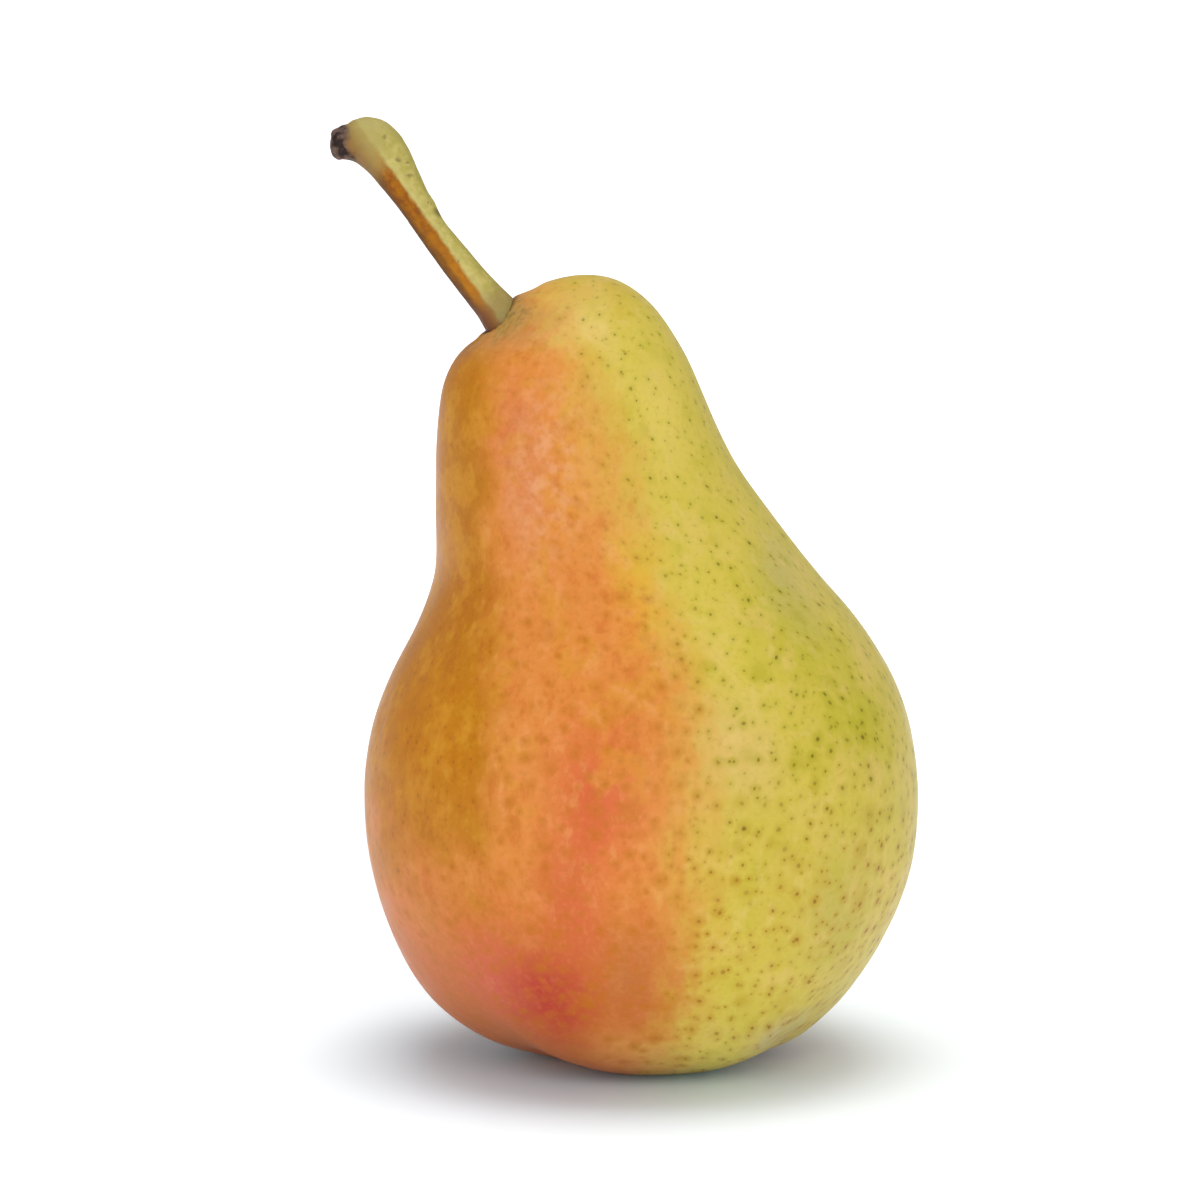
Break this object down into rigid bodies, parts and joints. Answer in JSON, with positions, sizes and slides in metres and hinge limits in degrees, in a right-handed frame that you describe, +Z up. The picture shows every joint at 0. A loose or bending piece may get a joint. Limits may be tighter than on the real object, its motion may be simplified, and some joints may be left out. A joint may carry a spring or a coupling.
{
  "type": "pear",
  "caption": "Ripe blushed dessert pear standing on its base, with a leaning neck, its woody stem and the dried calyx in the eye below.",
  "frame": {"origin": "on the surface that the pear stands on, under the middle of its bounding box", "axes": "+Z up through the pear, -X the way the neck and stem lean, -Y the front that the picture shows"},
  "size_m": [0.0758, 0.0718, 0.1231],
  "materials": {
    "skin": "waxy pear skin with a soft gloss, yellow-green with an orange to red blush on one side and small brown lenticels",
    "stem": "smooth woody stem, green above and orange-brown below, with a dark scar at its tip",
    "calyx": "dry matt brown sepals and stamens"
  },
  "bodies": {
    "root": {"fruit": "skin", "stem": "stem", "calyx": "calyx"}
  },
  "joints": []
}
